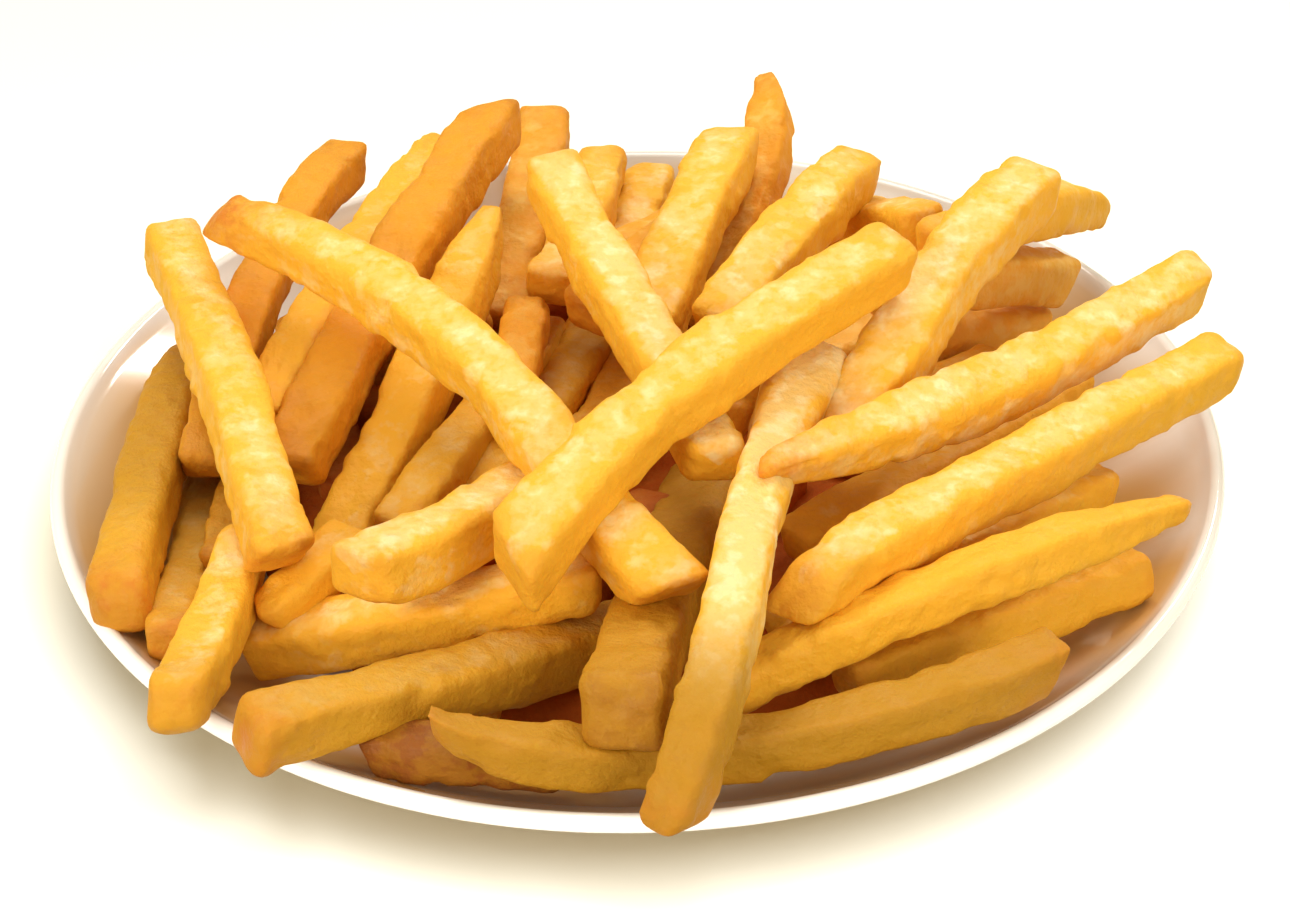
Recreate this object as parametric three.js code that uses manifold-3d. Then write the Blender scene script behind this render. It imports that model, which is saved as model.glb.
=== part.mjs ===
// A portion of french fries heaped on a round white side plate.
// Millimetres, +Z up. The plate stands at z = 0, on the flat middle of its underside and on its foot ring,
// with its centre on the Z axis. The heap is fullest towards -Y. It is one solid: a plain core with every
// fry that shows fused onto it.

import * as THREE from "three";
import { mergeVertices } from "three/addons/utils/BufferGeometryUtils.js";
import Module from "manifold-3d";

// Plate: a shallow dish whose wall curves up to a rounded lip.
const PLATE_RADIUS = 100;
const PLATE_HEIGHT = 24;
const PLATE_SEGMENTS = 64;
const FLOOR_RADIUS = 55; // flat part of the inside
const FLOOR_HEIGHT = 5.5; // inside floor above the table
const LIP_THICKNESS = 3;
const WALL_POWER = 1.7; // how late the wall turns up
const WALL_STEPS = 7;
const LIP_STEPS = 5;
const LIP_OUTSIDE = -0.3 * Math.PI; // where the outer wall meets the round of the lip
const LIP_ROUND = 1.15 * Math.PI; // how far the lip is round, from there over the top
const FOOT_OUTER = 56;
const FOOT_INNER = 50;
const FOOT_HEIGHT = 1.5; // depth of the groove inside the foot ring, and height of the wall's start
const BASE_RADIUS = 44; // flat middle of the underside, level with the foot ring
const FOOT_SLOPE = 1; // width of the sloping sides of the groove
const WALL_SETBACK = 2; // from the foot ring to the start of the outer wall

// Fries: sticks of square section with slightly rounded edges.
const EDGE_ROUNDING = 0.17; // chamfer as a share of the half width
const FRY_STATIONS = [0, 0.06, 0.35, 0.65, 0.94, 1]; // rings along each fry
const BLUNT_END = 0.86; // size of a blunt end against the middle
const POINT_START = 0.22; // share of the length over which a pointed end narrows

// Core of the heap, inside the ring of fries.
const CORE_RADIUS = 60;
const CORE_BASE = 5.8;
const CORE_RISE = 22;
const CORE_SKIRT = 5; // height of the core's straight foot
const CORE_UNDERSIDE = 0.78; // flat underside as a share of the radius
const CORE_SEGMENTS = 28;
const CORE_STEPS = 5;
const CORE_WAVES = 5; // shallow lumps round the core
const CORE_LUMP = 2.5;
const AXIS_CLEARANCE = 1; // points nearer the axis than this stay where they are

// Fries beneath the ones on top, laid by rule from the plate upwards.
const FILL_SEED = 20;
const FILL_TRIES = 24000;
const FILL_MOST = 34;
const FILL_WIDTH = 9.4;
const FILL_CLEARANCE = 8.8; // between centre lines
const FILL_SHORTEST = 30;
const FILL_LONGEST = 76;
const FILL_LOWEST = 11;
const FILL_HIGHEST = 44;
const FILL_STEEPEST = 0.5; // fall from the inner end to the outer one
const FILL_SPREAD = 1.1; // how far a laid fry may point away from the middle of the plate, radians
const FILL_REACH = 86; // furthest from the middle of the plate
const FILL_HALF_DEPTH = 0.6; // centre line to plate, as a share of the width
const FILL_FRONT = -10; // in front of this y the laid fries stay below the rim
const FILL_BACKING = 60; // depth over which the mound rises behind that
const MOUND_RISE = 31; // mound that the laid fries keep inside, above the rim
const LINE_SPANS = 16; // pieces of a centre line when distances are measured
const PLATE_GAP = 0.3; // heap to plate
const WELD_DISTANCE = 1e-4;

// Each fry: the evenly spaced points its centre line runs through, its width, its turn about its own length
// in degrees, and the size of its two ends against its middle (BLUNT_END where none is given).
const TOP_FRIES = [
  { path: [[-19, -67, 46], [7, -36, 57], [44, -7, 64]], width: 10.8, turn: 11 },
  {
    path: [[-72, 27, 54], [-35, -4, 51], [-15, -34, 47], [5, -65, 39]],
    width: 10.4, turn: 10, ends: [0.7, 1.1],
  },
  { path: [[-14, 35, 56], [0, -4, 50], [13, -41, 46]], width: 9.8, turn: -3 },
  { path: [[-83, 40, 41], [-69, -3, 40], [-56, -50, 36]], width: 10, turn: -7 },
  { path: [[70, 27, 57], [52, 0, 54], [34, -30, 43]], width: 10.6, turn: -5 },
];
const RIGHT_FRIES = [
  { path: [[19, -50, 51], [60, -18, 45], [98, 17, 44]], width: 9.6, turn: 17, ends: [0.4, BLUNT_END] },
  { path: [[24, -68, 42], [61, -37, 41], [100, -3, 39]], width: 9.8, turn: 6 },
  { path: [[9, -77, 27], [48, -62, 37], [87, -44, 38]], width: 8.6, turn: -9, ends: [BLUNT_END, 0.3] },
  { path: [[31, -68, 24], [55, -54, 23], [81, -42, 24]], width: 9.2, turn: -14 },
  { path: [[77, 14, 22], [55, -9, 25], [25, -37, 27]], width: 9, turn: 0 },
  { path: [[78, -12, 20], [57, -36, 26], [34, -61, 30]], width: 8.6, turn: 0 },
];
const FRONT_FRIES = [
  {
    path: [[29, -15, 47], [19, -51, 47], [12, -84, 43], [4, -104, 27]],
    width: 9.2, turn: -4, ends: [1.4, BLUNT_END],
  },
  { path: [[13, -5, 18], [4, -49, 28], [-3, -92, 37]], width: 12, turn: 6 },
  {
    path: [[-31, -89, 35], [-6, -89, 27], [31, -83, 27], [62, -73, 31]],
    width: 8.8, turn: -5, ends: [0.3, BLUNT_END],
  },
  { path: [[-43, -65, 44], [-30, -51, 40], [-15, -32, 37]], width: 11, turn: -5 },
  { path: [[-62, -50, 19], [-38, -53, 26], [-6, -53, 34]], width: 9.4, turn: 3 },
  { path: [[-59, -88, 32], [-34, -74, 28], [0, -48, 19]], width: 9.6, turn: 2 },
  { path: [[-41, -80, 23], [-28, -84, 24], [-11, -84, 22]], width: 7.6, turn: 0 },
  { path: [[10, -17, 12], [20, -39, 16], [30, -59, 23]], width: 8, turn: 0 },
];
const LEFT_FRIES = [
  { path: [[-54, 78, 35], [-66, 36, 35], [-73, -12, 27]], width: 8.8, turn: -1 },
  { path: [[-79, 29, 22], [-82, -9, 25], [-83, -50, 27]], width: 10.2, turn: 8 },
  { path: [[-74, 2, 16], [-74, -28, 18], [-74, -56, 25]], width: 8, turn: 0 },
  { path: [[-63, -35, 29], [-67, -60, 28], [-70, -82, 33]], width: 9.2, turn: 4 },
  { path: [[-67, 19, 15], [-67, -12, 21], [-68, -35, 23]], width: 8, turn: 0 },
  { path: [[-46, -37, 29], [-53, -46, 28], [-59, -50, 25]], width: 8, turn: 0 },
  { path: [[-25, 46, 43], [-36, 10, 32], [-51, -27, 17]], width: 10.2, turn: 4, ends: [0.3, BLUNT_END] },
  { path: [[-16, 34, 23], [-28, -3, 27], [-40, -29, 25]], width: 9.4, turn: 6 },
  { path: [[-6, 43, 20], [-16, 5, 24], [-29, -17, 22]], width: 9.4, turn: 0 },
];
const BACK_FRIES = [
  { path: [[-35, 86, 31], [-49, 45, 35], [-63, -4, 31]], width: 9.2, turn: 0 },
  { path: [[-26, 73, 44], [-43, 28, 39], [-58, -16, 29]], width: 10.6, turn: 1 },
  { path: [[-17, 98, 31], [-20, 68, 27], [-24, 38, 22]], width: 10.4, turn: 0 },
  { path: [[-5, 78, 33], [-9, 53, 35], [-15, 27, 37]], width: 9, turn: 0 },
  { path: [[-19, 26, 33], [-20, 11, 33], [-22, -6, 30]], width: 8.6, turn: 0 },
  { path: [[4, 84, 25], [-2, 56, 25], [-11, 24, 20]], width: 9.7, turn: 0 },
  { path: [[18, 57, 48], [10, 31, 46], [2, 3, 42]], width: 11.2, turn: 2 },
  { path: [[25, 82, 49], [24, 58, 41], [12, 28, 28]], width: 8.4, turn: 18, ends: [0.3, BLUNT_END] },
  { path: [[41, 54, 44], [29, 30, 47], [14, 1, 44]], width: 10.2, turn: -8 },
  { path: [[22, 77, 19], [38, 56, 32], [52, 33, 44]], width: 9, turn: 0 },
  { path: [[85, 58, 32], [71, 37, 45], [51, 11, 53]], width: 9, turn: 0, ends: [0.5, BLUNT_END] },
  { path: [[77, 41, 29], [61, 25, 39], [42, 6, 47]], width: 9.6, turn: 0 },
  { path: [[73, 38, 20], [47, 24, 27], [23, 7, 31]], width: 10.2, turn: 0 },
];
const PLACED_FRIES = [...TOP_FRIES, ...RIGHT_FRIES, ...FRONT_FRIES, ...LEFT_FRIES, ...BACK_FRIES];

const wasm = await Module();
wasm.setup();

// Turns a closed three.js geometry into a solid that can be joined and cut.
function toSolid(geometry) {
  const bare = geometry.index ? geometry.toNonIndexed() : geometry.clone();
  bare.deleteAttribute("normal");
  bare.deleteAttribute("uv");
  const merged = mergeVertices(bare, WELD_DISTANCE);
  const corners = merged.index.array;
  const triangles = [];
  for (let i = 0; i < corners.length; i += 3) {
    const [a, b, c] = [corners[i], corners[i + 1], corners[i + 2]];
    if (a !== b && b !== c && c !== a) triangles.push(a, b, c);
  }
  const mesh = new wasm.Mesh({
    numProp: 3,
    vertProperties: Float32Array.from(merged.attributes.position.array),
    triVerts: Uint32Array.from(triangles),
  });
  return new wasm.Manifold(mesh);
}

// Turns a solid back into a three.js geometry.
function toGeometry(solid) {
  const mesh = solid.getMesh();
  const geometry = new THREE.BufferGeometry();
  geometry.setAttribute("position", new THREE.BufferAttribute(mesh.vertProperties, 3));
  geometry.setIndex(new THREE.BufferAttribute(mesh.triVerts, 1));
  geometry.computeVertexNormals();
  return geometry;
}

// Height of the plate's inside surface at a distance from its middle.
function insideHeight(radius) {
  const share = Math.max(0, (radius - FLOOR_RADIUS) / (PLATE_RADIUS - LIP_THICKNESS / 2 - FLOOR_RADIUS));
  return FLOOR_HEIGHT + (PLATE_HEIGHT - FLOOR_HEIGHT) * share ** WALL_POWER;
}

// Outline of the plate from the middle of its underside, round the foot and the lip, to the middle of its
// floor. The gap makes the outline stand off by that much inside, for cutting the heap clear of the plate.
function plateOutline(gap = 0) {
  const outline = [
    [0, 0], [BASE_RADIUS, 0], [BASE_RADIUS + FOOT_SLOPE, FOOT_HEIGHT],
    [FOOT_INNER, FOOT_HEIGHT], [FOOT_INNER + FOOT_SLOPE, 0], [FOOT_OUTER, 0],
  ];
  const lipRadius = LIP_THICKNESS / 2 + gap;
  const lipMiddle = [PLATE_RADIUS - LIP_THICKNESS / 2, PLATE_HEIGHT - LIP_THICKNESS / 2];
  const wallStart = [FOOT_OUTER + WALL_SETBACK, FOOT_HEIGHT];
  const wallEnd = [
    lipMiddle[0] + lipRadius * Math.cos(LIP_OUTSIDE), lipMiddle[1] + lipRadius * Math.sin(LIP_OUTSIDE),
  ];
  for (let i = 0; i <= WALL_STEPS; i += 1) {
    const share = i / WALL_STEPS;
    const radius = wallStart[0] + (wallEnd[0] - wallStart[0]) * share;
    outline.push([radius, wallStart[1] + (wallEnd[1] - wallStart[1]) * share ** WALL_POWER]);
  }
  for (let i = 1; i < LIP_STEPS; i += 1) {
    const angle = LIP_OUTSIDE + (LIP_ROUND * i) / LIP_STEPS;
    outline.push([lipMiddle[0] + lipRadius * Math.cos(angle), lipMiddle[1] + lipRadius * Math.sin(angle)]);
  }
  for (let i = WALL_STEPS; i >= 0; i -= 1) {
    const radius = FLOOR_RADIUS + (lipMiddle[0] - LIP_THICKNESS / 2 - FLOOR_RADIUS) * (i / WALL_STEPS);
    outline.push([radius, insideHeight(radius) + gap]);
  }
  outline.push([0, FLOOR_HEIGHT + gap]);
  return outline.map(([radius, height]) => new THREE.Vector2(radius, height));
}

// A profile turned about the Z axis.
function turned(profile, segments) {
  return new THREE.LatheGeometry(profile, segments).rotateX(Math.PI / 2);
}

// The smooth curve through points that are evenly spaced along it.
class CentreLine extends THREE.Curve {
  constructor(path) {
    super();
    this.points = path.map((point) => new THREE.Vector3(...point));
  }

  getPoint(share, target = new THREE.Vector3()) {
    const place = share * (this.points.length - 1);
    target.set(0, 0, 0);
    this.points.forEach((point, i) => {
      let weight = 1;
      for (let j = 0; j < this.points.length; j += 1) {
        if (j !== i) weight *= (place - j) / (i - j);
      }
      target.addScaledVector(point, weight);
    });
    return target;
  }
}

// Size of a fry's section along it, against its middle: ends are blunt, wider, or drawn to a point.
function endScale(share, ends) {
  const [first, last] = ends;
  const near = share < 0.5 ? first : last;
  const distance = Math.min(share, 1 - share);
  if (near !== BLUNT_END) return near + (1 - near) * Math.min(1, distance / POINT_START);
  return distance < FRY_STATIONS[1] ? BLUNT_END : 1;
}

// A fry: a chamfered square section carried along its centre line.
function fryGeometry({ path, width, turn, ends = [BLUNT_END, BLUNT_END] }) {
  const curve = new CentreLine(path);
  const cut = 1 - EDGE_ROUNDING * 2;
  const section = new THREE.Shape([
    [1, -cut], [1, cut], [cut, 1], [-cut, 1], [-1, cut], [-1, -cut], [-cut, -1], [cut, -1],
  ].map(([x, y]) => new THREE.Vector2(x, y)));
  const spans = FRY_STATIONS.length - 1;
  const geometry = new THREE.ExtrudeGeometry(section, { depth: 1, steps: spans, bevelEnabled: false });
  const position = geometry.attributes.position;
  const up = new THREE.Vector3(0, 0, 1);
  for (let i = 0; i < position.count; i += 1) {
    const share = FRY_STATIONS[Math.round(position.getZ(i) * spans)];
    const along = curve.getTangent(share);
    const side = new THREE.Vector3().crossVectors(along, up).normalize();
    const over = new THREE.Vector3().crossVectors(side, along);
    side.applyAxisAngle(along, THREE.MathUtils.degToRad(turn));
    over.applyAxisAngle(along, THREE.MathUtils.degToRad(turn));
    const reach = (width / 2) * endScale(share, ends);
    const point = curve.getPoint(share);
    point.addScaledVector(side, position.getX(i) * reach).addScaledVector(over, -position.getY(i) * reach);
    position.setXYZ(i, point.x, point.y, point.z);
  }
  return geometry;
}

// Random numbers from 0 to 1, the same on every run.
function seededRandom(seed) {
  let state = seed;
  return () => {
    state = (state * 1664525 + 1013904223) % 4294967296;
    return state / 4294967296;
  };
}

// Points along a fry's centre line, for measuring its distance from others.
function linePoints({ path }) {
  return new CentreLine(path).getPoints(LINE_SPANS);
}

// Whether a laid fry lies inside the mound, clear of the plate. The mound is level with the rim in front,
// where the placed fries reach over it, and rises towards the back.
function insideMound(line) {
  return line.every(({ x, y, z }) => {
    const out = Math.hypot(x, y);
    const towardsBack = Math.min(1, Math.max(0, (y - FILL_FRONT) / FILL_BACKING));
    const roof = PLATE_HEIGHT + MOUND_RISE * (1 - (out / FILL_REACH) ** 2) * towardsBack;
    const bed = insideHeight(out + FILL_WIDTH / 2) + FILL_WIDTH * FILL_HALF_DEPTH;
    return out < FILL_REACH && z < roof && z > bed;
  });
}

// Fries under the ones on top: each is laid at random, a little higher than the last, and kept where it
// lies inside the mound and only just touches what is there.
function laidFries() {
  const random = seededRandom(FILL_SEED);
  const lines = PLACED_FRIES.map(linePoints);
  const laid = [];
  for (let tries = 0; tries < FILL_TRIES && laid.length < FILL_MOST; tries += 1) {
    const bearing = random() * 2 * Math.PI;
    const radius = FILL_REACH * Math.sqrt(random());
    const heading = bearing + (random() - 0.5) * 2 * FILL_SPREAD;
    const length = FILL_SHORTEST + (FILL_LONGEST - FILL_SHORTEST) * random();
    const slope = random() * FILL_STEEPEST;
    const height = FILL_LOWEST + (FILL_HIGHEST - FILL_LOWEST) * (tries / FILL_TRIES);
    const middle = new THREE.Vector3(radius * Math.cos(bearing), radius * Math.sin(bearing), height);
    const reach = new THREE.Vector3(Math.cos(heading), Math.sin(heading), -slope).setLength(length / 2);
    const points = [middle.clone().sub(reach), middle, middle.clone().add(reach)];
    const path = points.map((point) => point.toArray());
    const line = linePoints({ path });
    if (!insideMound(line)) continue;
    const clear = lines.every((other) => other.every((point) => (
      line.every((own) => own.distanceTo(point) > FILL_CLEARANCE))));
    if (!clear) continue;
    laid.push({ path, width: FILL_WIDTH, turn: 0 });
    lines.push(line);
  }
  return laid;
}

// The core: a low mound with shallow lumps, wholly inside the ring of fries.
function coreGeometry() {
  const profile = [[0, CORE_BASE]];
  for (let i = 0; i <= CORE_STEPS; i += 1) {
    const angle = (i / CORE_STEPS) * (Math.PI / 2);
    profile.push([CORE_RADIUS * Math.cos(angle), CORE_BASE + CORE_SKIRT + CORE_RISE * Math.sin(angle)]);
  }
  profile[profile.length - 1][0] = 0;
  profile.splice(1, 0, [CORE_RADIUS * CORE_UNDERSIDE, CORE_BASE]);
  const geometry = turned(profile.map(([r, z]) => new THREE.Vector2(r, z)), CORE_SEGMENTS);
  const position = geometry.attributes.position;
  for (let i = 0; i < position.count; i += 1) {
    const [x, y, z] = [position.getX(i), position.getY(i), position.getZ(i)];
    if (z <= CORE_BASE + CORE_SKIRT || Math.hypot(x, y) < AXIS_CLEARANCE) continue;
    position.setZ(i, z + CORE_LUMP * Math.sin(CORE_WAVES * Math.atan2(y, x)));
  }
  return geometry;
}

// The heap: core and fries in one, cut clear of the plate. Hollows sealed inside are filled.
function heapGeometry() {
  const laid = laidFries();
  let heap = toSolid(coreGeometry());
  for (const fry of [...PLACED_FRIES, ...laid]) heap = heap.add(toSolid(fryGeometry(fry)));
  heap = heap.subtract(toSolid(turned(plateOutline(PLATE_GAP), PLATE_SEGMENTS)));
  const bodies = heap.decompose().filter((body) => body.volume() > 0);
  bodies.sort((a, b) => b.volume() - a.volume());
  return toGeometry(bodies[0]);
}

const glaze = new THREE.MeshStandardMaterial({ color: 0xf3f0ee, roughness: 0.12, metalness: 0 });
const friedPotato = new THREE.MeshStandardMaterial({ color: 0xf0bd48, roughness: 0.55, metalness: 0 });

const plate = new THREE.Mesh(toGeometry(toSolid(turned(plateOutline(), PLATE_SEGMENTS))), glaze);
plate.name = "plate";

const fries = new THREE.Mesh(heapGeometry(), friedPotato);
fries.name = "fries";

const portion = new THREE.Group();
portion.name = "french_fries_portion";
portion.add(plate, fries);

export default portion;
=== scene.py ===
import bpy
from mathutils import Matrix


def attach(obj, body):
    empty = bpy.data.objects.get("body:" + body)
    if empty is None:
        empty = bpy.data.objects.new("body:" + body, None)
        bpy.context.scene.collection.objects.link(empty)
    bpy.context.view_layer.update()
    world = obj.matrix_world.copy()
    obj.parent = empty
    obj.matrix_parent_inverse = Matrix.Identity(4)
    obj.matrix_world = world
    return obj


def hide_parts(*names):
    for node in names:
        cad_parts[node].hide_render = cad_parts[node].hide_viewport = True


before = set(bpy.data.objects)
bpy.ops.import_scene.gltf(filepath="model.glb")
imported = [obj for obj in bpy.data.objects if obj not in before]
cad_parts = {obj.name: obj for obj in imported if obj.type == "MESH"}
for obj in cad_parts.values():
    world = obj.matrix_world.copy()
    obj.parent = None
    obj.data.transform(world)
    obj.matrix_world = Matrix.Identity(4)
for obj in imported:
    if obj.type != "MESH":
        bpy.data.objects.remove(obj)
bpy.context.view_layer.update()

import math
import random

import bpy
import numpy as np
from mathutils import Matrix, Vector


# ---------------------------------------------------------------------------
# Plate. A round side plate of white glazed stoneware, turned on a wheel: a flat floor, a wall that curves up
# to a rounded lip, and a foot ring underneath. The glaze is glossy; beside the fries it has painted shade and
# painted reflection of their colour.
# ---------------------------------------------------------------------------
MM = 0.001  # one millimetre in the scene's metres
PLATE_RADIUS = 100
PLATE_HEIGHT = 24
FLOOR_RADIUS = 55
FLOOR_HEIGHT = 5.5
LIP_THICKNESS = 3
WALL_POWER = 1.7
FOOT_OUTER = 56
FOOT_INNER = 50
FOOT_HEIGHT = 1.5
BASE_RADIUS = 44
TURNED_SEGMENTS = 192
GLAZE_COOL = (0.74, 0.71, 0.67, 1)
GLAZE_WARM = (0.78, 0.75, 0.71, 1)
GLAZE_SHADED_BY_FOOD = (0.56, 0.33, 0.11, 1)


def inside_height(radius):
    """Height of the plate's inside surface at a distance from its middle."""
    share = np.maximum(0, (radius - FLOOR_RADIUS) / (PLATE_RADIUS - LIP_THICKNESS / 2 - FLOOR_RADIUS))
    return FLOOR_HEIGHT + (PLATE_HEIGHT - FLOOR_HEIGHT) * share ** WALL_POWER


def plate_outline(wall_steps=28, lip_steps=14):
    """The plate's section: underside, foot ring, outer wall, lip, inner wall and floor."""
    outline = [(0, 0), (20, 0), (BASE_RADIUS - 0.4, 0), (BASE_RADIUS, 0.1)]
    outline += [(BASE_RADIUS + 0.7, FOOT_HEIGHT - 0.2), (BASE_RADIUS + 1.2, FOOT_HEIGHT)]
    outline += [(FOOT_INNER - 0.2, FOOT_HEIGHT), (FOOT_INNER + 0.3, FOOT_HEIGHT - 0.2)]
    outline += [(FOOT_INNER + 1, 0.1), (FOOT_INNER + 1.4, 0), (FOOT_OUTER - 0.4, 0), (FOOT_OUTER, 0.2)]
    middle = (PLATE_RADIUS - LIP_THICKNESS / 2, PLATE_HEIGHT - LIP_THICKNESS / 2)
    half = LIP_THICKNESS / 2
    for i in range(wall_steps + 1):
        share = i / wall_steps
        radius = FOOT_OUTER + 2 + (middle[0] + half * 0.6 - FOOT_OUTER - 2) * share
        outline.append((radius, FOOT_HEIGHT + (middle[1] - half * 0.8 - FOOT_HEIGHT) * share ** WALL_POWER))
    for i in range(1, lip_steps):
        angle = -math.pi * 0.3 + math.pi * 1.15 * i / lip_steps
        outline.append((middle[0] + half * math.cos(angle), middle[1] + half * math.sin(angle)))
    for i in range(wall_steps, -1, -1):
        radius = FLOOR_RADIUS + (middle[0] - half - FLOOR_RADIUS) * (i / wall_steps)
        outline.append((radius, float(inside_height(radius))))
    outline += [(FLOOR_RADIUS * 0.7, FLOOR_HEIGHT), (FLOOR_RADIUS * 0.35, FLOOR_HEIGHT), (0, FLOOR_HEIGHT)]
    return outline


def make_object(name, points, faces):
    """A smooth-shaded mesh object from points in metres."""
    mesh = bpy.data.meshes.new(name)
    mesh.from_pydata(points, [], faces)
    mesh.update()
    mesh.polygons.foreach_set("use_smooth", [True] * len(mesh.polygons))
    piece = bpy.data.objects.new(name, mesh)
    bpy.context.scene.collection.objects.link(piece)
    return piece


def turned(name, outline, segments):
    """A closed solid of revolution about Z. The outline starts and ends on the axis."""
    inner = outline[1:-1]
    points = [(0, 0, outline[0][1] * MM), (0, 0, outline[-1][1] * MM)]
    for k in range(segments):
        angle = 2 * math.pi * k / segments
        points += [(r * math.cos(angle) * MM, r * math.sin(angle) * MM, z * MM) for r, z in inner]
    faces = []
    count = len(inner)
    for k in range(segments):
        here = 2 + k * count
        there = 2 + (k + 1) % segments * count
        faces.append((0, there, here))
        faces += [(here + i, there + i, there + i + 1, here + i + 1) for i in range(count - 1)]
        faces.append((here + count - 1, there + count - 1, 1))
    return make_object(name, points, faces)


def new_material(name):
    """A node material, its tree and its Principled shader."""
    material = bpy.data.materials.new(name)
    material.use_nodes = True
    tree = material.node_tree
    shader = tree.nodes["Principled BSDF"]
    return material, tree, shader


def glaze_material():
    """White glaze: slightly warm, glossy, with a faint unevenness in tone and surface, and painted shade and
    painted reflection next to the fries.
    """
    material, tree, shader = new_material("white_glaze")
    shader.inputs["Roughness"].default_value = 0.12
    shader.inputs["IOR"].default_value = 1.52
    shader.inputs["Coat Weight"].default_value = 0.35
    shader.inputs["Coat Roughness"].default_value = 0.04
    place = tree.nodes.new("ShaderNodeTexCoord")
    cloud = tree.nodes.new("ShaderNodeTexNoise")
    cloud.inputs["Scale"].default_value = 22
    cloud.inputs["Detail"].default_value = 3
    tree.links.new(place.outputs["Object"], cloud.inputs["Vector"])
    tint = tree.nodes.new("ShaderNodeValToRGB")
    tint.color_ramp.elements[0].position = 0.3
    tint.color_ramp.elements[0].color = GLAZE_COOL
    tint.color_ramp.elements[1].position = 0.7
    tint.color_ramp.elements[1].color = GLAZE_WARM
    tree.links.new(cloud.outputs["Fac"], tint.inputs["Fac"])
    # Painted shade and painted reflection: beside the fries the glaze colour goes warm and dark.
    near = tree.nodes.new("ShaderNodeAttribute")
    near.attribute_name = "food_shade_and_reflection"
    warm = tree.nodes.new("ShaderNodeMix")
    warm.data_type = "RGBA"
    warm.inputs["B"].default_value = GLAZE_SHADED_BY_FOOD
    tree.links.new(near.outputs["Fac"], warm.inputs["Factor"])
    tree.links.new(tint.outputs["Color"], warm.inputs["A"])
    tree.links.new(warm.outputs["Result"], shader.inputs["Base Color"])
    wave = tree.nodes.new("ShaderNodeTexNoise")
    wave.inputs["Scale"].default_value = 60
    wave.inputs["Detail"].default_value = 1
    tree.links.new(place.outputs["Object"], wave.inputs["Vector"])
    bump = tree.nodes.new("ShaderNodeBump")
    bump.inputs["Strength"].default_value = 0.05
    bump.inputs["Distance"].default_value = 0.001
    tree.links.new(wave.outputs["Fac"], bump.inputs["Height"])
    tree.links.new(bump.outputs["Normal"], shader.inputs["Normal"])
    return material


plate = turned("glazed_plate", plate_outline(), TURNED_SEGMENTS)
plate.data.materials.append(glaze_material())
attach(plate, "root")
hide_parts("plate")


# ---------------------------------------------------------------------------
# Fries. Thick-cut potato sticks, fried until the faces are pale gold, the edges and cut ends orange and the
# thinner ones brown. Each is a square section carried along its own bent centre line, with rounded edges,
# obliquely cut or torn ends, sunken faces and small blisters. Those of one colour are joined in one piece.
# ---------------------------------------------------------------------------
LATTICE = 32


def lattice_noise(points, size, seed):
    """Smooth noise from -1 to 1 at points in millimetres, with lumps of about the given size."""
    grid = np.random.default_rng(seed).uniform(-1, 1, (LATTICE, LATTICE, LATTICE))
    place = points / size + 100
    cell = np.floor(place).astype(int)
    part = place - cell
    part = part * part * (3 - 2 * part)
    total = np.zeros(len(points))
    for dx in (0, 1):
        for dy in (0, 1):
            for dz in (0, 1):
                step = np.array((dx, dy, dz))
                weight = np.abs(1 - step - part).prod(1)
                corner = (cell + step) % LATTICE
                total += weight * grid[corner[:, 0], corner[:, 1], corner[:, 2]]
    return total


def centre_curve(path, shares):
    """Points and directions along the smooth curve through a fry's evenly spaced points."""
    stops = np.linspace(0, 1, len(path))
    curve = np.polyfit(stops, np.array(path, float), len(path) - 1)
    places = sum(term * (shares ** power)[:, None] for power, term in enumerate(curve[::-1]))
    slopes = [(power, power * term) for power, term in enumerate(curve[::-1]) if power]
    along = sum(slope * (shares ** (power - 1))[:, None] for power, slope in slopes)
    return places, along / np.linalg.norm(along, axis=1)[:, None]


def smooth_step(low, high, value):
    """0 below low, 1 above high, and a smooth rise between them."""
    share = np.clip((value - low) / (high - low), 0, 1)
    return share * share * (3 - 2 * share)


AROUND = 52  # points round the section
RING_STEP = 0.8
FEWEST_RINGS = 14
POINT_REACH = 0.26  # share of the length over which an end narrows or widens
PLAIN_END = (1, 0, 0.25, 2.2)
# The top face is left pale and the sides gold: partly painted light from above, partly the crust's own tone.
FACE_TONES_AND_LIGHT = (0.9, 0.0, 0.9, 0.9)
TONE_SPREAD = 0.1
CAP_RINGS = 6
CORNER_RINGS = 6
CORNER_MOST = 0.46  # of the width
CAP_DOME = 0.08
FACE_SINK = 0.03
SKEW = 0.06
EDGE_FROM, EDGE_TO = 1.02, 1.24  # reach of the section where an edge starts and is full
SWELL, SWELL_LENGTH = 0.065, 13
BOW, BOW_LENGTH = 0.5, 1.4
END_BROWNING, END_BURN = 0.3, 0.25  # of the width, and of the length
# Where along the fry the painted shade passes from its start value to its finish value.
SHADE_FROM, SHADE_TO = 0.55, 0.85
DENTS = ((0.38, 10, 1), (0.26, 3.6, 2), (0.11, 1.7, 3))  # depth, size and seed
EDGE_WEAR, EDGE_WEAR_SIZE = 0.9, 3.4
BLISTER_HEIGHT, BLISTER_FROM, BLISTER_SIZE = 0.7, 0.2, 2.4
BLISTER_FIELD_SIZE = 14


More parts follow.
